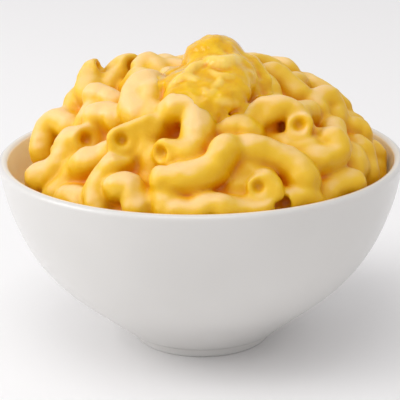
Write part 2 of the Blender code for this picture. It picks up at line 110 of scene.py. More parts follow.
# Photo pixels of each seen elbow's centre line, its lift in mm over the mound, what its ends do, its width
# to the usual one, and its coat, from 0 for yellow and thin to 1 for pale and thick. An end turns in at i,
# lies closed at e or open at o, opens half to the viewer at h, and to the viewer at v
SEEN_ELBOWS = (
    (((71, 127), (58, 121), (47, 131), (42, 152)), 0.0, "ii", 1.0, 0.8),
    (((82, 141), (72, 144), (66, 160), (54, 173), (40, 178)), 1.5, "hi", 1.1, 0.7),
    (((56, 196), (70, 184), (80, 168)), -4.0, "ii", 1.0, 0.4),
    (((88, 96), (79, 100), (76, 113)), -1.0, "ii", 1.0, 0.2),
    (((91, 98), (89, 84), (92, 73), (100, 68)), -0.7, "io", 0.95, 0.2),
    (((112, 94), (113, 80), (120, 72), (128, 69)), 0.5, "ih", 1.15, 0.2),
    (((143, 70), (150, 65), (158, 73), (158, 90)), -1.0, "ii", 1.0, 0.4),
    (((164, 74), (174, 71), (186, 76)), -3.0, "ii", 1.0, 0.6),
    (((94, 95), (105, 96), (116, 103)), 1.5, "ii", 0.85, 1.0),
    (((96, 117), (106, 116), (118, 120)), -0.5, "ii", 1.1, 1.0),
    (((72, 128), (82, 124), (94, 132)), -4.0, "ii", 1.0, 0.5),
    (((147, 84), (137, 92), (134, 106), (140, 118)), 1.5, "ii", 1.15, 1.0),
    (((153, 92), (153, 106), (157, 120)), 0.0, "ii", 1.05, 0.6),
    (((122, 140), (135, 134), (148, 128)), 2.0, "vi", 1.0, 0.1),
    (((84, 164), (100, 160), (116, 152)), -2.5, "ii", 1.0, 0.6),
    (((116, 166), (104, 176), (97, 192), (99, 208)), 0.0, "ii", 1.0, 0.6),
    (((118, 188), (130, 187), (136, 202), (138, 212)), 1.0, "ii", 1.05, 0.9),
    (((164, 180), (188, 178), (213, 169), (225, 150)), 2.0, "ei", 1.2, 0.5),
    (((175, 108), (190, 108), (198, 124), (196, 146)), 1.0, "ii", 1.15, 0.8),
    (((167, 153), (179, 152), (192, 157)), 0.0, "hi", 1.0, 0.0),
    (((164, 196), (168, 210)), -1.0, "ii", 1.0, 0.6),
    (((172, 213), (190, 214)), -1.0, "ii", 1.0, 0.7),
    (((200, 212), (213, 206), (226, 211)), 0.0, "ii", 1.0, 0.6),
    (((232, 212), (248, 211), (264, 207)), -1.0, "ii", 1.0, 0.5),
    (((249, 150), (272, 155), (293, 166), (304, 179)), 1.0, "ii", 1.15, 0.5),
    (((259, 187), (267, 182), (273, 196)), 0.8, "vi", 0.9, 0.3),
    (((287, 203), (300, 201), (313, 202)), 3.0, "oi", 0.95, 0.3),
    (((324, 198), (338, 186), (352, 184), (360, 192)), 0.0, "ii", 1.0, 0.3),
    (((332, 140), (337, 150), (328, 158), (308, 164)), 3.0, "ii", 1.05, 0.4),
    (((252, 117), (272, 109), (292, 110), (299, 125)), 2.5, "iv", 1.0, 0.6),
    (((228, 132), (237, 128), (250, 136)), -2.0, "ii", 1.0, 0.3),
    (((272, 76), (284, 84), (298, 96)), -1.0, "ii", 1.0, 0.2),
    (((250, 70), (258, 80), (268, 94)), 0.0, "ii", 1.0, 0.5),
    (((314, 116), (318, 102), (328, 98)), -1.0, "ii", 1.0, 0.6),
    (((330, 104), (334, 114), (332, 126)), -2.0, "ii", 1.0, 0.2),
    (((350, 130), (357, 130), (362, 140)), -0.5, "ii", 1.0, 0.1),
    (((360, 148), (364, 162), (364, 180)), -2.0, "ii", 1.0, 0.1),
    (((373, 152), (376, 162), (376, 174)), -3.0, "ii", 1.0, 0.1),
    (((140, 148), (150, 154), (158, 166)), -5.0, "ii", 1.0, 0.2),
    (((222, 112), (230, 120), (236, 136)), -6.0, "ii", 1.0, 0.2),
    (((262, 116), (268, 124), (276, 138)), -9.0, "ii", 1.0, 0.2),
    (((240, 193), (243, 181), (252, 170)), -4.5, "ii", 1.0, 0.2),
)
SEEN_RINGS = 6             # points on a centre line, as in the CAD heap
FINE_RINGS = 15            # and as drawn here

# The rest of the heap, drawn by the same seeded rule as the CAD heap
FILL_SEED = 8
FILL_PLACES = 600
FILL_TURNS = 12            # ways an elbow is tried at each place
FILL_RINGS = 5             # points on its centre line, as in the CAD heap
FILL_FINE_RINGS = 9        # and as drawn here
FILL_REACH = 0.97          # the places keep this far within the mound
FILL_CROWD = 0.42          # and are the closer together the further out
FILL_SWING = math.radians(85)  # an elbow bows up to this far from straight up
FILL_BEND_RADIUS = (7.0 * MM, 9.5 * MM)
FILL_BEND = (math.radians(110), math.radians(170))
FILL_SINK = 2.0 * MM
FILL_SPACING = 0.60        # room that an elbow needs, in elbow widths
FILL_COAT_SEED = 5
FILL_COAT_MIDDLE = 0.45    # coat of an elbow at the middle, thicker to the left
FILL_COAT_SLIDE = 140.0 * MM  # by one over this distance
FILL_COAT_SHARE = (0.1, 0.8)  # and within these
FILL_COAT_SPREAD = 0.3

# Sauce
CELL = 0.72 * MM           # of the grid the coated heap is worked out on
SAUCE_BLEND = 0.58 * MM    # how softly neighbours run into one another
SAUCE_COAT = 0.25          # coat of the pooled sauce
SAUCE_FILL = 3.2 * MM      # how far the sauce fills a hollow, times how enclosed it is
OPEN_GROUND = 0.58         # part of the near space that is filled where hollows begin
FULLEST = 0.4              # and how much more of it counts
NEAR_CELLS = 3             # half width of the near space, taken twice
SAUCE_MIDDLE = 0.8         # share of that fill at the heap's middle: there is more on the left
SAUCE_SLIDE = 110.0 * MM   # the share falls by one over this distance to the right
SAUCE_SHARE = (0.5, 1.2)   # and stays between these
HEAP_LUMPS = ((0.50 * MM, 5.0 * MM, 3), (0.24 * MM, 2.4 * MM, 4))  # swing, size and seed of each
SKIN_EASE = 0.25           # how far the coat's skin is drawn to the mean of its neighbours
OPEN_REACH = 10.0 * MM     # an open end is worked on within this distance
OPEN_AHEAD = 5.0 * MM      # an unseen end is opened only where there is room this far ahead,
OPEN_ROOM = 0.2 * MM       # so much of it
FLARE_ROOM = 0.1 * MM      # the room before an open end is this much wider than the elbow,
FLARE = 0.35               # widens by this much of the way
FLARE_LENGTH = 4.0 * MM    # and does so for this far
BORE_LEAD = 3.0 * MM       # the bore starts this far before the end
END_CUT_BLEND = 1.6 * MM   # roundness of a tube's cut end,
END_ROOM_BLEND = 2.2 * MM  # of the room before it
BORE_BLEND = 2.0 * MM      # and of its bore's edge
HIGHLIGHT_FACING = (-0.22, -0.25, 0.9)  # painted highlight: the sauce is painted palest on surfaces that face this way, up and towards the lamps
PALE_COAT = 0.3            # share of the coat in how pale the sauce is
PALE_SHADE_SHARE = 0.5            # share of the painted crevice shade taken from it
PALE_FROM = 0.27           # below this sum it isn't pale at all
CROWD_CELLS = 4            # half width of the near space for the painted crevice shade, taken twice
SHADE_FROM = 0.46           # part of the near space that is filled where painted shade in the crevices begins
SHADE_SPAN = 0.30           # and over which the painted shade reaches its darkest
HEAP_LOW = 44.0 * MM       # the coated heap goes down to here, the core below it
HEAP_REACH = 61.5 * MM
HEAP_TOP = 99.0 * MM
CORE_AROUND = 96
CORE_COAT = 0.3
# the core is painted with this much crevice shade all over
CORE_SHADE = 0.6

# Melted cheese: lumps by photo pixel, lift over the mound, and half sizes across, up the slope and through
MELT_LUMPS = (
    ((207, 90), 3.0 * MM, (12.5 * MM, 12.0 * MM, 5.5 * MM)),
    ((214, 62), 3.5 * MM, (9.0 * MM, 9.5 * MM, 7.5 * MM)),
    ((228, 76), 3.0 * MM, (8.0 * MM, 9.0 * MM, 5.5 * MM)),
)
# Strands and folds that haven't quite melted: photo pixels and half width
MELT_STRANDS = (
    (((186, 78), (193, 68), (206, 63)), 1.5 * MM),
    (((209, 60), (222, 64), (237, 60)), 2.8 * MM),
    (((211, 72), (219, 76), (232, 78)), 0.9 * MM),
    (((213, 88), (219, 84), (220, 79)), 0.8 * MM),
    (((204, 90), (209, 94), (214, 91)), 0.8 * MM),
    (((217, 101), (226, 102), (236, 104)), 0.8 * MM),
    (((172, 86), (183, 78), (196, 80)), 1.4 * MM),
)
MELT_CELL = 0.44 * MM      # of the grid the cheese is worked out on
MELT_MARGIN = 19.0 * MM    # and how far it reaches round the lumps' middles
MELT_SOFT = 1.0 * MM       # how softly the cheese's forms run together
LUMP_BLEND = 1.2 * MM
FILM_BLEND = 0.8 * MM
FILM_THICK = 2.2 * MM      # at its middle
FILM_REACH = 16.0 * MM     # from its middle to where it has no thickness
FILM_SHIFT = (2.0 * MM, 7.0 * MM)  # of the film's middle from the first lump's, to the right and back
FILM_UNDER = 2.5 * MM      # how far the cheese goes into the sauce below it
RIDGES = (1.1 * MM, 6.0 * MM, 11)  # swing, size and seed of its folded ridges
RIDGE_SINK = 0.8 * MM      # the cheese grows by this between the ridges' hollows
RIPPLES = (0.45 * MM, 3.2 * MM, 13)
CRUMBS = (0.12 * MM, 1.3 * MM, 12)
CALM_REACH = 11.0 * MM     # ridges grow to their full swing over this way from the top lump,
CALM_START = 0.35          # from this part of it on,
CALM_LEAST = 0.3           # and are nowhere less than this share
STRAND_RINGS = 12
STRAND_SINK = 0.45         # part of its half width that a strand lies into the cheese
STRAND_BLEND = 1.5 * MM
STRAND_PALE = 0.7          # of a strand at its skin
STRAND_EDGE = 1.2 * MM     # over which its paleness changes by one
MELT_CROWD = (2, 3)        # half widths of the near space in cells, for the painted shade in the cheese's hollows
MELT_SHADE_FROM = 0.45      # part of it that is filled where the painted shade in the cheese's hollows begins
MELT_SHADE_SPAN = 0.25

# Sizes that the finishes' patterns repeat at
SAUCE_CLOUD = 7.7 * MM     # thicker and thinner sauce
SAUCE_GRAIN = 1.11 * MM    # half-melted curds, drawn as coarse as they need to be to show
CHEESE_CLOUD = 5.0 * MM
CHEESE_GRAIN = 1.43 * MM   # oil and crumbs on the melted cheese, drawn coarse to show
GLAZE_CLOUD = 40.0 * MM    # the glaze's slow unevenness

# Studio: soft boxes by name, place and width in metres, and power in watts, and the sky's strength
SKY = 0.72
FLOOR_HALF = 4.0           # metres
FOOD_MIDDLE = (0, 0, 0.05)  # where the lamps point
LIGHTS = (
    ("window", (-1.1, -0.15, 0.75), 0.8, 7.1),
    ("window_sill", (-1.2, -0.5, 0.25), 0.8, 1.2),
    ("overhead", (-0.15, -0.4, 1.25), 0.7, 3.2),
)


def unit(v):
    """The same way, one long."""
    return v / np.linalg.norm(v)


def smooth_line(points, count):
    """A curve through the points, at even lengths: between two of them a cubic that leaves each one parallel
    to the line between its neighbours."""
    points = np.asarray(points, float)
    ends = np.vstack([2 * points[0] - points[1], points, 2 * points[-1] - points[-2]])
    t = np.linspace(0, 1, RUN_STEPS)[:, None]
    runs = []
    for a, b, c, d in zip(ends, ends[1:], ends[2:], ends[3:]):
        curve = 2 * b + (c - a) * t + (2 * a - 5 * b + 4 * c - d) * t**2 + (3 * b - a - 3 * c + d) * t**3
        runs.append(0.5 * curve)
    line = np.concatenate([runs[0]] + [run[1:] for run in runs[1:]])
    along = np.concatenate([[0], np.cumsum(np.linalg.norm(np.diff(line, axis=0), axis=1))])
    even = np.linspace(0, along[-1], count)
    return np.stack([np.interp(even, along, line[:, k]) for k in range(line.shape[1])], -1)


# Photo camera

def sight_axes():
    """The camera's forward, right and up: looking back and down, then rolled about the sight line."""
    forward = np.array((0, math.cos(SIGHT_DOWN), -math.sin(SIGHT_DOWN)))
    right = np.array((1.0, 0, 0))
    up = np.cross(right, forward)
    rolled_right = right * math.cos(SIGHT_ROLL) + up * math.sin(SIGHT_ROLL)
    rolled_up = up * math.cos(SIGHT_ROLL) - right * math.sin(SIGHT_ROLL)
    return forward, rolled_right, rolled_up


FORWARD, RIGHT, UP = sight_axes()
EYE = AIM - SIGHT_LENGTH * FORWARD


def sight_line(pixel):
    """Unit direction from the eye through a photo pixel."""
    x, y = pixel
    return unit(FORWARD + RIGHT * (x - PHOTO_MIDDLE) / FOCAL - UP * (y - PHOTO_MIDDLE) / FOCAL)


# Mound

def mound(x, y):
    """Height of the top layer's centre lines: the edge's height and the rise times a power of one less the
    squared reach, on an oval that is drawn back towards its top."""
    middle = np.clip(1 - (x**2 + y**2) / MOUND_DEEP**2, 0, 1)
    reach = ((x - MOUND_MIDDLE_X) / MOUND_WIDE) ** 2 + ((y - MOUND_BACK * middle) / MOUND_DEEP) ** 2
    return MOUND_EDGE_Z + MOUND_RISE * np.clip(1 - reach, 0, None) ** MOUND_POWER


def mound_normal(x, y):
    """The way straight out of the mound, from its slopes either way."""
    step = 0.5 * MM
    slope_x = (mound(x + step, y) - mound(x - step, y)) / (2 * step)
    slope_y = (mound(x, y + step) - mound(x, y - step)) / (2 * step)
    return unit(np.array((-slope_x, -slope_y, 1.0)))


def on_mound(pixel, lift):
    """Where the sight line through a pixel first meets the raised mound, or comes nearest to it."""
    far = np.linspace(SIGHT_NEAR, SIGHT_FAR, 1200)
    points = EYE + far[:, None] * sight_line(pixel)
    above = points[:, 2] - mound(points[:, 0], points[:, 1]) - lift
    above[np.hypot(points[:, 0], points[:, 1]) > MOUND_DEEP] = 1.0
    below = np.nonzero(above <= 0)[0]
    return points[below[0] if len(below) else np.argmin(above)]


# Bowl's form

def bowl_outside(z):
    """Outer radius at a height above the foot, smooth through BOWL_SIDE."""
    line = smooth_line(BOWL_SIDE, 80)
    return np.interp(z, line[:, 0], line[:, 1])


def wall_inside(z, clear=0.0):
    """Inner radius at a height: the outside less the wall and a clearance, measured square to the slope."""
    step = 0.5 * MM
    slope = (bowl_outside(z + step) - bowl_outside(z - step)) / (2 * step)
    return bowl_outside(z) - (WALL + clear) * np.sqrt(1 + slope**2)


# Centre lines of the elbows

def inside_bowl(line, width):
    """Draws a centre line in from the wall and the lip, so that the elbow clears them."""
    height = np.clip(line[:, 2], FOOT_HEIGHT + WALL, 62.0 * MM)
    room = wall_inside(height, ELBOW_RADIUS * width + GAP) * CAD_CHORD
    reach = np.hypot(line[:, 0], line[:, 1])
    scale = np.minimum(1, room / np.maximum(reach, 1 * MM))
    return np.column_stack([line[:, 0] * scale, line[:, 1] * scale, line[:, 2]])


def seen_line(pixels, lift, ends, width, count):
    """Centre line of an elbow in the photo, on a plane that leans between the mound and the camera."""
    middle = on_mound(np.mean(pixels, axis=0), lift * MM)
    toward = unit(EYE - middle)
    out = unit(mound_normal(middle[0], middle[1]) + LEAN * toward)
    line = []
    for pixel in pixels:
        sight = sight_line(pixel)
        line.append(EYE + sight * (((middle - EYE) @ out) / (sight @ out)))
    start_run = unit(line[0] - line[1])
    stop_run = unit(line[-1] - line[-2])
    # Past its last pixel an elbow turns in under its neighbours, or towards the viewer
    turn = {"i": lambda p, run: [p + DIP_AHEAD * ELBOW_DIP * run - DIP_UNDER * ELBOW_DIP * out],
            "v": lambda p, run: [p + DIP_TOWARD * ELBOW_DIP * toward],
            "h": lambda p, run: [p + DIP_HALF * ELBOW_DIP * (toward + run)],
            "e": lambda p, run: [],
            "o": lambda p, run: []}
    line = turn[ends[0]](line[0], start_run) + line + turn[ends[1]](line[-1], stop_run)
    return inside_bowl(smooth_line(line, count), width)


def fill_line(rng, x, y, count):
    """An arc that lies at random on the mound at x, y: part of a circle that bows out of it."""
    out = mound_normal(x, y)
    heading = rng.uniform(0, 2 * math.pi)
    side = unit(np.cross(out, (math.cos(heading), math.sin(heading), 0.1)))
    along = np.cross(side, out)
    swing = rng.uniform(-1, 1) * FILL_SWING
    bow = out * math.cos(swing) + side * math.sin(swing)
    radius = rng.uniform(*FILL_BEND_RADIUS)
    bend = rng.uniform(*FILL_BEND)
    middle = np.array((x, y, mound(x, y) - rng.uniform(0, FILL_SINK)))
    turn = np.linspace(-bend / 2, bend / 2, count)
    arc = middle + radius * (np.outer(np.cos(turn) - 1, bow) + np.outer(np.sin(turn), along))
    return inside_bowl(arc, 1.0)


def fill_lines(seen):
    """Elbows over the rest of the mound: places on a sunflower spiral, each kept where it finds room."""
    rng = np.random.default_rng(FILL_SEED)
    golden = math.pi * (3 - math.sqrt(5))
    taken = np.concatenate(seen)
    lines = []
    for k in range(FILL_PLACES):
        reach = ((k + 0.5) / FILL_PLACES) ** FILL_CROWD
        x = MOUND_MIDDLE_X + MOUND_WIDE * FILL_REACH * reach * math.cos(k * golden)
        y = MOUND_DEEP * FILL_REACH * reach * math.sin(k * golden)
        tries = [fill_line(rng, x, y, FILL_RINGS) for _ in range(FILL_TURNS)]
        room = [np.linalg.norm(line[:, None] - taken[None], axis=2).min() for line in tries]
        best = int(np.argmax(room))
        if room[best] > FILL_SPACING * 2 * ELBOW_RADIUS:
            lines.append(tries[best])
            taken = np.concatenate([taken, tries[best]])
    return lines


# Solid fields: a grid of distances, below zero inside

class Field:
    """A block of space cut in cells, with the soft sum of everything laid in it."""

    def __init__(self, low, high, cell):
        self.low = np.array(low, float)
        self.cell = cell
        self.axes = [np.arange(a, b, cell, dtype=np.float32) for a, b in zip(low, high)]
        self.shape = tuple(len(a) for a in self.axes)
        self.sum = np.full(self.shape, 1e-12, np.float32)
        self.coat = np.zeros(self.shape, np.float32)

    def block(self, low, high):
        """Slices and points of the part of the grid between two corners."""
        spans = []
        for a, b, axis in zip(low, high, self.axes):
            spans.append(slice(*np.searchsorted(axis, (a, b))))
        grid = np.meshgrid(*[axis[span] for axis, span in zip(self.axes, spans)], indexing="ij")
        return tuple(spans), np.stack(grid, -1)

    def lay(self, spans, distance, blend, coat=0.0):
        """Adds a form to the soft sum: exp(-distance / blend), and its coat in the same measure."""
        part = np.exp(-np.clip(distance / blend, -60, 60)).astype(np.float32)
        self.sum[spans] += part
        self.coat[spans] += part * coat


def tube_distance(points, line, radii):
    """Distance from points to a tube: the least way to a run of its centre line, less its radius there."""
    flat = points.reshape(-1, 3).astype(np.float32)
    best = np.full(len(flat), 1.0, np.float32)
    for a, ab, r, swell in zip(line[:-1], np.diff(line, axis=0), radii[:-1], np.diff(radii)):
        rel = flat - a.astype(np.float32)
        t = np.clip(rel @ ab.astype(np.float32) / (ab @ ab), 0, 1)
        away = np.linalg.norm(rel - t[:, None] * ab.astype(np.float32), axis=1)
        best = np.minimum(best, away - r - swell * t)
    return best.reshape(points.shape[:-1])


def lattice_noise(shape, cell, size, seed):
    """Smooth noise from -1 to 1: random values a size apart, drawn out to the grid by eased weights."""
    rng = np.random.default_rng(seed)
    counts = [int(n * cell / size) + 3 for n in shape]
    values = rng.uniform(-1, 1, counts).astype(np.float32)
    for axis, n in enumerate(shape):
        place = np.arange(n) * cell / size
        low = place.astype(int)
        ease = place - low
        ease = (ease * ease * (3 - 2 * ease)).astype(np.float32)
        form = [1, 1, 1]
        form[axis] = n
        ease = ease.reshape(form)
        values = np.take(values, low, axis) * (1 - ease) + np.take(values, low + 1, axis) * ease
    return values


def sample(grid, field, points):
    """Value of a grid at points, between its eight nearest cells."""
    place = (points - field.low) / field.cell
    place = np.clip(place, 0, np.array(grid.shape) - 1.001)
    low = place.astype(int)
    part = place - low
    total = 0
    for corner in np.ndindex(2, 2, 2):
        weight = np.prod(np.where(corner, part, 1 - part), axis=1)
        total = total + weight * grid[tuple((low + corner).T)]
    return total


def blurred(grid, cells):
    """Box mean over so many cells each way, by running sums."""
    for axis in range(3):
        pad = [(0, 0)] * 3
        pad[axis] = (cells + 1, cells)
        run = np.cumsum(np.pad(grid, pad, mode="edge"), axis=axis, dtype=np.float32)
        n = grid.shape[axis]
        upper = np.take(run, np.arange(2 * cells + 1, 2 * cells + 1 + n), axis)
        lower = np.take(run, np.arange(n), axis)
        grid = (upper - lower) / (2 * cells + 1)
    return grid


def field_surface(field, distance):
    """Skin of a field: one point in each cell that the surface passes through, at the mean of where it
    crosses the cell's edges, then a quad across each crossed edge. The points end on the zero level."""
    inside = distance < 0
    n = np.array(distance.shape) - 1
    corners = np.zeros(tuple(n), np.int8)
    for c in np.ndindex(2, 2, 2):
        corners += inside[tuple(slice(a, a + m) for a, m in zip(c, n))]
    cells = np.argwhere((corners > 0) & (corners < 8))
    index = np.full(tuple(n), -1, np.int64)
    index[tuple(cells.T)] = np.arange(len(cells))
    total = np.zeros((len(cells), 3))
    count = np.zeros(len(cells))
    for axis in range(3):
        step = np.eye(3, dtype=int)[axis]
        others = [k for k in range(3) if k != axis]
        for a, b in ((0, 0), (0, 1), (1, 0), (1, 1)):
            shift = np.zeros(3, int)
            shift[others[0]], shift[others[1]] = a, b
            low = cells + shift
            d0 = distance[tuple(low.T)]
            d1 = distance[tuple((low + step).T)]
            crossed = (d0 < 0) != (d1 < 0)
            part = d0[crossed] / (d0[crossed] - d1[crossed])
            total[crossed] += low[crossed] + part[:, None] * step
            count[crossed] += 1
    points = field.low + field.cell * total / count[:, None]
    quads = []
    for axis in range(3):
        step = np.eye(3, dtype=int)[axis]
        one, two = np.eye(3, dtype=int)[(axis + 1) % 3], np.eye(3, dtype=int)[(axis + 2) % 3]
        span = [slice(1, m) for m in n]
        span[axis] = slice(0, n[axis])
        low = inside[tuple(span)]
        after = list(span)
        after[axis] = slice(1, n[axis] + 1)
        high = inside[tuple(after)]
        edges = np.argwhere(low != high)
        leaves = low[tuple(edges.T)]
        base = edges + (1 - step)
        ring = np.stack([index[tuple((base - one - two).T)], index[tuple((base - two).T)],
                         index[tuple(base.T)], index[tuple((base - one).T)]], 1)
        ring[~leaves] = ring[~leaves][:, ::-1]
        quads.append(ring)
    quads = np.concatenate(quads)
    for _ in range(2):
        points = onto_level(field, distance, points)
    return points, quads


def onto_level(field, distance, points):
    """Moves points along the field's slope to its zero level, by half a cell at most."""
    here = sample(distance, field, points)
    slope = slopes(field, distance, points)
    length = np.maximum(np.sum(slope**2, axis=1), 1e-6)
    move = -here[:, None] * slope / length[:, None]
    reach = np.linalg.norm(move, axis=1)[:, None]
    return points + move * np.minimum(1, 0.5 * field.cell / np.maximum(reach, 1e-9))


def slopes(field, distance, points):
    """Slope of a field at points, by differences of a cell either way."""
    parts = []
    for axis in range(3):
        step = np.eye(3)[axis] * field.cell
        rise = sample(distance, field, points + step) - sample(distance, field, points - step)
        parts.append(rise / (2 * field.cell))
    return np.stack(parts, 1)


# Meshes

def add_piece(name, points, faces, material, attributes=None):
    """A smooth mesh object at the origin, from arrays of points and quads, with its values at each point."""
    mesh = bpy.data.meshes.new(name)
    mesh.vertices.add(len(points))
    mesh.vertices.foreach_set("co", np.asarray(points, np.float32).ravel())
    mesh.loops.add(faces.size)
    mesh.loops.foreach_set("vertex_index", np.asarray(faces, np.int32).ravel())
    mesh.polygons.add(len(faces))
    mesh.polygons.foreach_set("loop_start", np.arange(len(faces), dtype=np.int32) * faces.shape[1])
    mesh.update(calc_edges=True)
    mesh.validate()
    mesh.shade_smooth()
    for key, values in (attributes or {}).items():
        layer = mesh.attributes.new(key, "FLOAT", "POINT")
        layer.data.foreach_set("value", np.asarray(values, np.float32))
    mesh.materials.append(material)
    piece = bpy.data.objects.new(name, mesh)
    bpy.context.scene.collection.objects.link(piece)
    return piece


def turned_quads(rows, around):
    """Quads between rows of points that each go once round."""
    low = np.arange(rows - 1)[:, None] * around + np.arange(around)
    after = np.arange(rows - 1)[:, None] * around + (np.arange(around) + 1) % around
    return np.stack([low, after, after + around, low + around], -1).reshape(-1, 4)


def turned_points(outline, around):
    """An outline of radius and height carried round Z."""
    turn = np.linspace(0, 2 * math.pi, around, endpoint=False)
    r, z = outline[:, 0][:, None], outline[:, 1][:, None]
    return np.stack([r * np.cos(turn), r * np.sin(turn), z + 0 * turn], -1).reshape(-1, 3)


# Materials

def colour(code):
    """An sRGB hex colour as linear red, green, blue and alpha."""
    part = np.array([int(code[k:k + 2], 16) / 255 for k in (1, 3, 5)])
    linear = np.where(part <= 0.04045, part / 12.92, ((part + 0.055) / 1.055) ** 2.4)
    return (*linear, 1.0)


def add_node(tree, kind, sockets=None, stops=(), **properties):
    """Adds a node, sets its properties, sets or links its sockets by name or number, and fills its ramp
    with stops of place and hex colour."""
    node = tree.nodes.new(kind)
    for key, value in properties.items():
        setattr(node, key, value)
    for key, value in (sockets or {}).items():
        if isinstance(value, bpy.types.NodeSocket):
            tree.links.new(value, node.inputs[key])
        else:
            node.inputs[key].default_value = value
    if stops:
        elements = node.color_ramp.elements
        elements.remove(elements[1])
        elements[0].position = stops[0][0]
        elements[0].color = colour(stops[0][1])
        for place, code in stops[1:]:
            elements.new(place).color = colour(code)
    return node


def new_material(name):
    """A material, its node tree and its shader."""
    material = bpy.data.materials.new(name)
    material.use_nodes = True
    tree = material.node_tree
    return material, tree, tree.nodes["Principled BSDF"]


def set_shader(tree, shader, colour_output, height, bump, depth, **values):
    """Links the shader's colour and its relief, and sets the rest of its sockets."""
    tree.links.new(colour_output, shader.inputs["Base Color"])
    relief = add_node(tree, "ShaderNodeBump", {"Height": height, "Strength": bump, "Distance": depth})
    tree.links.new(relief.outputs["Normal"], shader.inputs["Normal"])
    for key, value in values.items():
        shader.inputs[key.replace("_", " ")].default_value = value


def cheese_sauce():
    """Cooked pasta under a satin coat of cheddar sauce: pale where thick and with a painted highlight on
    surfaces that face the lamps, and painted orange shade in its crevices.
    """
    material, tree, shader = new_material("cheddar_sauce_on_pasta")
    place = add_node(tree, "ShaderNodeTexCoord").outputs["Object"]
    coat = add_node(tree, "ShaderNodeAttribute", attribute_name="coat").outputs["Fac"]
    crevice_shade = add_node(tree, "ShaderNodeAttribute", attribute_name="crevice_shade").outputs["Fac"]
    cloud = add_node(tree, "ShaderNodeTexNoise",
                     {"Vector": place, "Scale": 1 / SAUCE_CLOUD, "Detail": 3.0}).outputs["Fac"]
    # the coat attribute holds the sauce's thickness together with a painted highlight, less where there is
    # painted shade
    spread = add_node(tree, "ShaderNodeMath", {0: cloud, 1: 0.3, 2: coat}, operation="MULTIPLY_ADD")
    coat_and_light_colour = add_node(tree, "ShaderNodeValToRGB", {"Fac": spread.outputs[0]}, stops=(
        (0.12, "#D9A200"), (0.42, "#E5B308"), (0.72, "#EBBF34"), (1.0, "#F1CB88")))
    # painted shade: the sauce is darkened to orange where the near space is crowded, in its crevices
    painted_shade_colour = add_node(tree, "ShaderNodeValToRGB", {"Fac": crevice_shade}, stops=(
        (0.0, "#FFFFFF"), (0.45, "#FFF8E6"), (0.75, "#FFE8B4"), (1.0, "#FFCA7C")))
    mixed = add_node(tree, "ShaderNodeMix", data_type="RGBA", blend_type="MULTIPLY", sockets={
        0: 1.0, 6: coat_and_light_colour.outputs["Color"], 7: painted_shade_colour.outputs["Color"]})
    gloss = add_node(tree, "ShaderNodeMapRange", {"Value": cloud, "To Min": 0.28, "To Max": 0.5})
    tree.links.new(gloss.outputs["Result"], shader.inputs["Roughness"])
    grain = add_node(tree, "ShaderNodeTexNoise",
                     {"Vector": place, "Scale": 1 / SAUCE_GRAIN, "Detail": 4.0})
    set_shader(tree, shader, mixed.outputs[2], grain.outputs["Fac"], 0.35, 0.3 * MM, Subsurface_Weight=0.4,
               Subsurface_Radius=(1.0, 0.88, 0.35), Subsurface_Scale=1.8 * MM, IOR=1.42,
               Specular_IOR_Level=0.45)
    return material


def melted_cheddar():
    """Melted cheddar: smooth, moist and glossy, a clear strong yellow, paler in its strands, with painted
    shade in its hollows.
    """
    material, tree, shader = new_material("melted_cheddar")
    place = add_node(tree, "ShaderNodeTexCoord").outputs["Object"]
    pale = add_node(tree, "ShaderNodeAttribute", attribute_name="pale").outputs["Fac"]
    crevice_shade = add_node(tree, "ShaderNodeAttribute", attribute_name="crevice_shade").outputs["Fac"]
    cloud = add_node(tree, "ShaderNodeTexNoise",
                     {"Vector": place, "Scale": 1 / CHEESE_CLOUD, "Detail": 3.0}).outputs["Fac"]
    yellow = add_node(tree, "ShaderNodeValToRGB", {"Fac": cloud}, stops=(
        (0.3, "#DEA400"), (0.55, "#E8B600"), (0.75, "#F2C82C")))
    strands = add_node(tree, "ShaderNodeMix", data_type="RGBA", sockets={
        0: pale, 6: yellow.outputs["Color"], 7: colour("#F8D878")})
    # painted shade: the cheese is darkened where the near space is crowded
    painted_shade_colour = add_node(tree, "ShaderNodeValToRGB", {"Fac": crevice_shade}, stops=(
        (0.3, "#FFFFFF"), (0.9, "#F8CC88")))
    mixed = add_node(tree, "ShaderNodeMix", data_type="RGBA", blend_type="MULTIPLY", sockets={
        0: 1.0, 6: strands.outputs[2], 7: painted_shade_colour.outputs["Color"]})
    grain = add_node(tree, "ShaderNodeTexNoise",
                     {"Vector": place, "Scale": 1 / CHEESE_GRAIN, "Detail": 3.0})
    set_shader(tree, shader, mixed.outputs[2], grain.outputs["Fac"], 0.15, 0.3 * MM, Roughness=0.2,
               Subsurface_Weight=0.35, Subsurface_Radius=(1.0, 0.85, 0.3), Subsurface_Scale=2.0 * MM,
               IOR=1.44, Specular_IOR_Level=0.3, Coat_Weight=0.25, Coat_Roughness=0.06)
    return material


def glazed_porcelain():
    """Clear-glazed white porcelain: a hard bright glaze, faintly uneven from its firing, and inside painted
    brighter and warmer with bounce light from the food."""
    material, tree, shader = new_material("glazed_white_porcelain")
    place = add_node(tree, "ShaderNodeTexCoord").outputs["Object"]
    bounce_light = add_node(tree, "ShaderNodeAttribute", attribute_name="bounce_light").outputs["Fac"]
    cloud = add_node(tree, "ShaderNodeTexNoise",
                     {"Vector": place, "Scale": 1 / GLAZE_CLOUD, "Detail": 2.0}).outputs["Fac"]
    white = add_node(tree, "ShaderNodeValToRGB", {"Fac": cloud}, stops=(
        (0.3, "#D3D1CE"), (0.7, "#D8D6D3")))
    # painted bounce light: where marked, the glaze is painted bright and warm as if lit by the food
    bounce_lit = add_node(tree, "ShaderNodeMix", data_type="RGBA", sockets={
        0: bounce_light, 6: white.outputs["Color"], 7: colour("#FFF5E0")})
    set_shader(tree, shader, bounce_lit.outputs[2], cloud, 0.05, 0.5 * MM, Roughness=0.3, IOR=1.5,
               Coat_Weight=0.4, Coat_Roughness=0.08, Subsurface_Weight=0.3,
               Subsurface_Radius=(1.0, 0.95, 0.9), Subsurface_Scale=3.0 * MM)
    return material


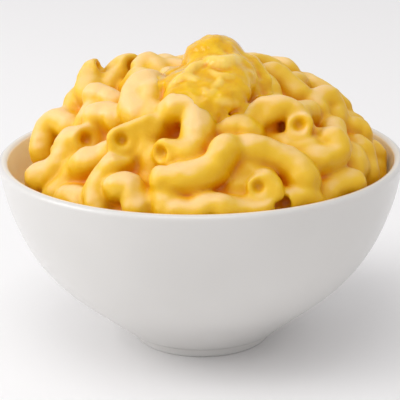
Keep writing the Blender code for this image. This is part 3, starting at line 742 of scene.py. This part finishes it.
def pale_paper():
    """A roll of matt paper: an even pale ground without a shine."""
    material, _, shader = new_material("pale_paper")
    shader.inputs["Base Color"].default_value = colour("#F2F1F1")
    shader.inputs["Roughness"].default_value = 0.7
    return material


# The pieces

def make_bowl():
    """The bowl's outline, from the middle of the inside over the lip to the middle of the base, turned."""
    floor = FOOT_HEIGHT + WALL
    dish_rise = 2.0 * MM
    inner_z = np.linspace(floor + dish_rise, RIM_HEIGHT - LIP_RISE, 60)
    start = wall_inside(inner_z[0])
    dish = np.linspace(0, 1, 14)[:-1]
    inner = [(start * p, floor + dish_rise * p**3) for p in np.maximum(dish, 0.004)]
    inner += list(zip(wall_inside(inner_z), inner_z))
    lip_turn = np.linspace(math.pi, 0, 14)[1:-1]
    lip_in, lip_out = wall_inside(inner_z[-1]), bowl_outside(inner_z[-1])
    lip_middle, lip_half = (lip_in + lip_out) / 2, (lip_out - lip_in) / 2
    lip = [(lip_middle + lip_half * math.cos(t), inner_z[-1] + LIP_RISE * math.sin(t)) for t in lip_turn]
    outer_z = np.linspace(inner_z[-1], FOOT_HEIGHT, 70)
    outer = list(zip(bowl_outside(outer_z), outer_z))
    neck = FOOT_RADIUS + FOOT_LEAN
    inner_foot = FOOT_RADIUS - FOOT_WIDTH
    foot = [(neck + 0.9 * MM, 3.5 * MM), (neck + 0.2 * MM, 3.0 * MM), (neck, 2.4 * MM),
            (FOOT_RADIUS + 0.3 * MM, 0.6 * MM), (FOOT_RADIUS, 0.2 * MM), (FOOT_RADIUS - 0.35 * MM, 0.0),
            (inner_foot + 0.35 * MM, 0.0), (inner_foot, 0.25 * MM), (inner_foot - 0.5 * MM, 1.8 * MM),
            (inner_foot - 0.9 * MM, FOOT_RECESS), (0.5 * inner_foot, FOOT_RECESS), (0.1 * MM, FOOT_RECESS)]
    outline = np.array(inner + lip + outer + foot)
    # painted bounce light on the whole inside and the lip's first rows, fainter over the next rows
    bounce_light = np.zeros(len(outline))
    faded_from = len(inner) + BOUNCE_LIP_ROWS
    bounce_light[:faded_from] = 1
    bounce_light[faded_from:faded_from + BOUNCE_FADE_ROWS] = BOUNCE_FAINT
    piece = add_piece("bowl_glazed", turned_points(outline, BOWL_AROUND),
                      turned_quads(len(outline), BOWL_AROUND), glazed_porcelain(),
                      {"bounce_light": np.repeat(bounce_light, BOWL_AROUND)})
    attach(piece, "root")
    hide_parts("bowl")


def all_elbows():
    """Fine centre lines, their ends, widths and coats: the seen elbows and then the rest."""
    coarse = []
    elbows = []
    for pixels, lift, ends, width, coat in SEEN_ELBOWS:
        coarse.append(seen_line(pixels, lift, ends, width, SEEN_RINGS))
        elbows.append((seen_line(pixels, lift, ends, width, FINE_RINGS), ends, width, coat))
    rng = np.random.default_rng(FILL_COAT_SEED)
    for line in fill_lines(coarse):
        side = np.clip(FILL_COAT_MIDDLE - line[:, 0].mean() / FILL_COAT_SLIDE, *FILL_COAT_SHARE)
        coat = np.clip(side + rng.uniform(-FILL_COAT_SPREAD, FILL_COAT_SPREAD), 0, 1)
        elbows.append((smooth_line(line, FILL_FINE_RINGS), "ff", 1.0, coat))
    return elbows


def lay_elbows(field, elbows):
    """Lays each elbow in the field: a tube whose radius swells in a slow wave, cut short at an open end."""
    margin = ELBOW_RADIUS + LAY_MARGIN
    rng = np.random.default_rng(SWELL_SEED)
    for line, ends, width, coat in elbows:
        spans, points = field.block(line.min(0) - margin, line.max(0) + margin)
        wave = np.sin(rng.uniform(0, 6) + np.linspace(0, rng.uniform(4, 8), len(line)))
        radii = ELBOW_RADIUS * width * (1 + rng.uniform(*SWELL_RANGE) + SWELL_WAVE * wave)
        tube = tube_distance(points, line, radii)
        for kind, end, before in ((ends[0], line[0], line[1]), (ends[1], line[-1], line[-2])):
            if kind in "vho":
                past_end = (points - end) @ unit(end - before) - END_ROUND
                tube = soft_most(tube, past_end, END_CUT_BLEND)
        field.lay(spans, tube, SAUCE_BLEND, coat)


def lay_pool(field, x, y, z):
    """Lays the pooled sauce: the height over the mound sunk by a drop, less of one at the bowl's edge."""
    edge_rise = EDGE_RISE * np.clip((np.hypot(x, y) - EDGE_FROM) / EDGE_WIDTH, 0, 1)
    pool = (z - mound(x, y) + CORE_DROP - edge_rise) * POOL_SLOPE
    field.lay(np.s_[:, :, :], pool, SAUCE_BLEND, SAUCE_COAT)


def fill_hollows(distance, x):
    """Thickens the sauce by how much of the near space is filled beyond open ground, more on the left."""
    filled = (distance < 0).astype(np.float32)
    enclosed = blurred(blurred(filled, NEAR_CELLS), NEAR_CELLS)
    share = np.clip(SAUCE_MIDDLE - x / SAUCE_SLIDE, *SAUCE_SHARE)
    return distance - SAUCE_FILL * np.clip(enclosed - OPEN_GROUND, 0, FULLEST) * share


def open_ends(field, distance, elbows):
    """Opens the ends that the photo shows open, and at the back those that have room ahead of them."""
    for line, ends, width, _ in elbows:
        for kind, inward in zip(ends, (line, line[::-1])):
            if kind in "ie":
                continue
            end = inward[0]
            out = unit(inward[0] - inward[1])
            free = sample(distance, field, (end + out * OPEN_AHEAD)[None])[0] > OPEN_ROOM
            if kind == "f" and not (free and end[1] > 0):
                continue
            clear_way = END_CLEAR if kind in "vhf" else 0.0
            open_end(field, distance, end, out, ELBOW_RADIUS * width, clear_way)


def keep_in_bowl(distance, x, y, z):
    """Cuts the heap off at the bowl's inner wall, below the rim, and at the top of the core."""
    wall = np.hypot(x, y) - wall_inside(np.clip(z, 0, STRAIGHT_FROM), WALL_ROOM)
    distance = np.maximum(distance, np.where(z < RIM_HEIGHT, wall, -1).astype(np.float32))
    return np.maximum(distance, HEAP_LOW - z).astype(np.float32)


def heap_field():
    """Distances and coat of the whole heap: the soft sum of all elbows and of the pooled sauce, made uneven,
    its hollows part filled and its open ends bored out."""
    low = (-HEAP_REACH, -HEAP_REACH, HEAP_LOW - 3 * CELL)
    field = Field(low, (HEAP_REACH, HEAP_REACH, HEAP_TOP), CELL)
    elbows = all_elbows()
    lay_elbows(field, elbows)
    x, y, z = np.meshgrid(*field.axes, indexing="ij", sparse=True)
    lay_pool(field, x, y, z)
    distance = -SAUCE_BLEND * np.log(field.sum)
    for swing, size, seed in HEAP_LUMPS:
        distance += swing * lattice_noise(field.shape, CELL, size, seed)
    distance = fill_hollows(distance, x)
    open_ends(field, distance, elbows)
    distance = (1 - SKIN_EASE) * distance + SKIN_EASE * blurred(distance, 1)
    return field, keep_in_bowl(distance, x, y, z), field.coat / field.sum


def open_end(field, distance, end, out, radius, clear_way):
    """Cuts an elbow's end square and rounded, clears a short way in front of it, and bores it shallowly."""
    spans, points = field.block(end - OPEN_REACH, end + OPEN_REACH)
    rel = points - end
    ahead = rel @ out
    beside = np.linalg.norm(rel - ahead[..., None] * out, axis=-1)
    flare = radius + FLARE_ROOM + FLARE * np.clip(ahead, 0, FLARE_LENGTH)
    clear = np.maximum(END_ROUND - ahead, beside - flare)
    clear = np.maximum(clear, ahead - clear_way)
    bore_radius = ELBOW_BORE * radius / ELBOW_RADIUS
    way = end + np.outer((END_ROUND + BORE_LEAD, END_ROUND - BORE_DEPTH + bore_radius), out)
    bore = tube_distance(points, way, np.full(2, bore_radius))
    part = soft_most(distance[spans], -clear, END_ROOM_BLEND)
    distance[spans] = soft_most(part, -bore, BORE_BLEND)


def soft_most(a, b, blend):
    """The greater of two distances with a rounded corner."""
    h = np.clip(0.5 + 0.5 * (a - b) / blend, 0, 1)
    return (b * (1 - h) + a * h + blend * h * (1 - h)).astype(np.float32)


def make_heap(sauce, field, distance, coat):
    """Skin of the heap. A point gets painted crevice shade by how much of the near space is filled, and is
    pale by its coat and by a painted highlight on surfaces that face the lamps, less where it has painted
    shade."""
    points, quads = field_surface(field, distance)
    filled = (distance < 0).astype(np.float32)
    crowd = blurred(blurred(filled, CROWD_CELLS), CROWD_CELLS)
    # painted shade: crowded places, the crevices, are painted darker
    crevice_shade = np.clip((sample(crowd, field, points) - SHADE_FROM) / SHADE_SPAN, 0, 1)
    facing = slopes(field, distance, points)
    facing /= np.maximum(np.linalg.norm(facing, axis=1), 1e-6)[:, None]
    # painted highlight: surfaces facing up and towards the lamps are painted paler
    painted_highlight = np.clip(0.5 + 0.5 * facing @ unit(np.array(HIGHLIGHT_FACING)), 0, 1)
    pale = PALE_COAT * sample(coat, field, points) + painted_highlight**2 - PALE_FROM - PALE_SHADE_SHARE * crevice_shade
    # the coat attribute carries this paleness, painted highlight and painted shade included
    piece = add_piece("macaroni_sauced", points, quads, sauce, {"coat": np.clip(pale, 0, 1), "crevice_shade": crevice_shade})
    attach(piece, "root")
    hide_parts("macaroni")


def make_core(sauce):
    """The heap's body below the rim: the bowl's inside drawn in a little and closed over, turned."""
    floor = FOOT_HEIGHT + WALL + GAP
    side_z = np.linspace(floor + 2.5 * MM, HEAP_LOW + 2 * MM, 40)
    start = wall_inside(side_z[0], 2 * GAP)
    base = [(start * p, floor + 0.8 * MM + 1.7 * MM * p**3) for p in (0.005, 0.3, 0.6, 0.85)]
    side = list(zip(wall_inside(side_z, 2 * GAP), side_z))
    top = [(side[-1][0] * p, side_z[-1] + 2 * MM * (1 - p)) for p in (0.9, 0.6, 0.3, 0.005)]
    outline = np.array(base + side + top)[::-1]
    points = turned_points(outline, CORE_AROUND)
    # painted crevice shade, the same all over the core
    values = {"coat": np.full(len(points), CORE_COAT), "crevice_shade": np.full(len(points), CORE_SHADE)}
    piece = add_piece("sauce_core", points, turned_quads(len(outline), CORE_AROUND), sauce, values)
    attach(piece, "root")
    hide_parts("macaroni")


def lump_distance(points, middle, axes, halves):
    """Near distance to an ellipsoid: (length of the scaled point less one) times its least half size."""
    rel = (points - middle) @ axes.T / halves
    length = np.linalg.norm(rel, axis=-1)
    return (length - 1) * length / np.maximum(np.linalg.norm(rel / halves, axis=-1), 1e-6)


def on_field(pixel, field, distance):
    """Where the sight line through a pixel first enters a field's form, or comes nearest to it."""
    far = np.linspace(SIGHT_NEAR, SIGHT_FAR, 800)
    points = EYE + far[:, None] * sight_line(pixel)
    high = field.low + field.cell * (np.array(field.shape) - 1)
    within = np.all((points > field.low) & (points < high), axis=1)
    points = points[within]
    here = sample(distance, field, points)
    below = np.nonzero(here <= 0)[0]
    return points[below[0] if len(below) else np.argmin(here)]


def melt_places():
    """Middle, axes and half sizes of each lump, which sits square to the mound."""
    places = []
    for pixel, lift, halves in MELT_LUMPS:
        middle = on_mound(pixel, lift)
        out = mound_normal(middle[0], middle[1])
        across = unit(np.cross((0, 1, 0), out))
        places.append((middle, np.array([across, np.cross(out, across), out]), np.array(halves)))
    return places


def film_thickness(points, middle):
    """Thickest at its middle, and less by the square of the way out to its edge."""
    x = points[..., 0] - middle[0] - FILM_SHIFT[0]
    y = points[..., 1] - middle[1] - FILM_SHIFT[1]
    reach = np.sqrt((x / FILM_REACH) ** 2 + (y / FILM_REACH) ** 2)
    return FILM_THICK * np.clip(1.0 - reach**2, -1, 1)


def lay_strands(field, points, distance):
    """Adds each strand to the cheese as a tapering tube, half sunk in, and gives how pale each place is."""
    pale = np.zeros(field.shape, np.float32)
    for pixels, half in MELT_STRANDS:
        sunk = STRAND_SINK * half * FORWARD
        line = smooth_line([on_field(pixel, field, distance) + sunk for pixel in pixels], STRAND_RINGS)
        taper = np.sin(np.linspace(0.5, math.pi - 0.5, STRAND_RINGS))
        strand = tube_distance(points, line, half * taper)
        distance = -soft_most(-distance, -strand, STRAND_BLEND)
        pale = np.maximum(pale, np.clip(STRAND_PALE - strand / STRAND_EDGE, 0, 1))
    return distance, pale


def make_melted_cheese(heap, heap_distance):
    """Skin of the soft sum of the lumps and of a film that follows the heap, with ridges and strands."""
    lumps = melt_places()
    middles = [middle for middle, _, _ in lumps]
    field = Field(np.min(middles, axis=0) - MELT_MARGIN, np.max(middles, axis=0) + MELT_MARGIN, MELT_CELL)
    spans, points = field.block(field.low, field.low + 1)
    for middle, axes, halves in lumps:
        field.lay(spans, lump_distance(points, middle, axes, halves), LUMP_BLEND)
    flat = points.reshape(-1, 3).astype(float)
    under = sample(heap_distance, heap, flat).reshape(points.shape[:-1])
    field.lay(spans, under - film_thickness(points.astype(float), middles[0]), FILM_BLEND)
    distance = -MELT_SOFT * np.log(field.sum)
    from_top = np.linalg.norm(points - middles[1], axis=-1)
    rough = np.clip(from_top / CALM_REACH - CALM_START, CALM_LEAST, 1).astype(np.float32)
    swing, size, seed = RIDGES
    distance += rough * swing * np.abs(lattice_noise(field.shape, field.cell, size, seed)) - RIDGE_SINK
    swing, size, seed = RIPPLES
    distance += swing * lattice_noise(field.shape, field.cell, size, seed)
    distance, pale = lay_strands(field, points, distance)
    swing, size, seed = CRUMBS
    distance += swing * lattice_noise(field.shape, field.cell, size, seed)
    distance = np.maximum(distance, -under - FILM_UNDER).astype(np.float32)
    skin, quads = field_surface(field, distance)
    crowd = (distance < 0).astype(np.float32)
    for cells in MELT_CROWD:
        crowd = blurred(crowd, cells)
    # painted shade in the cheese's hollows
    crevice_shade = np.clip((sample(crowd, field, skin) - MELT_SHADE_FROM) / MELT_SHADE_SPAN, 0, 1)
    values = {"crevice_shade": crevice_shade, "pale": sample(pale, field, skin)}
    piece = add_piece("melted_cheese_cap", skin, quads, melted_cheddar(), values)
    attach(piece, "root")
    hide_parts("melted_cheese")


# Surroundings

def make_floor():
    """A flat square of paper under the bowl's foot."""
    sides = ((-1, -1, 0), (1, -1, 0), (1, 1, 0), (-1, 1, 0))
    points = FLOOR_HALF * np.array(sides)
    floor = add_piece("floor", points, np.array(((0, 1, 2, 3),)), pale_paper())


def make_light(name, place, width, power):
    """A square soft box that faces the food."""
    light = bpy.data.lights.new(name, "AREA")
    light.size = width
    light.energy = power
    thing = bpy.data.objects.new(name, light)
    bpy.context.scene.collection.objects.link(thing)
    thing.location = place
    thing.rotation_euler = (Vector(FOOD_MIDDLE) - Vector(place)).to_track_quat("-Z", "Y").to_euler()


def make_camera():
    """The photo's camera: its focal length in pixels over the photo's width, times the sensor's width."""
    camera = bpy.data.cameras.new("camera")
    camera.sensor_width = SENSOR
    camera.lens = FOCAL / (2 * PHOTO_MIDDLE) * SENSOR
    thing = bpy.data.objects.new("camera", camera)
    bpy.context.scene.collection.objects.link(thing)
    turn = Matrix((RIGHT, UP, -FORWARD)).transposed().to_4x4()
    thing.matrix_world = Matrix.Translation(EYE) @ turn
    bpy.context.scene.camera = thing


def make_sky():
    """An even white sky, the room's own light."""
    world = bpy.data.worlds.new("studio")
    world.use_nodes = True
    background = world.node_tree.nodes["Background"]
    background.inputs["Color"].default_value = colour("#FFFEFF")
    background.inputs["Strength"].default_value = SKY
    bpy.context.scene.world = world


def main():
    """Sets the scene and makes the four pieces."""
    make_camera()
    make_floor()
    make_sky()
    for name, place, width, power in LIGHTS:
        make_light(name, place, width, power)
    sauce = cheese_sauce()
    make_bowl()
    make_core(sauce)
    heap, distance, coat = heap_field()
    make_heap(sauce, heap, distance, coat)
    make_melted_cheese(heap, distance)
    bpy.context.scene.view_settings.view_transform = "Standard"


main()
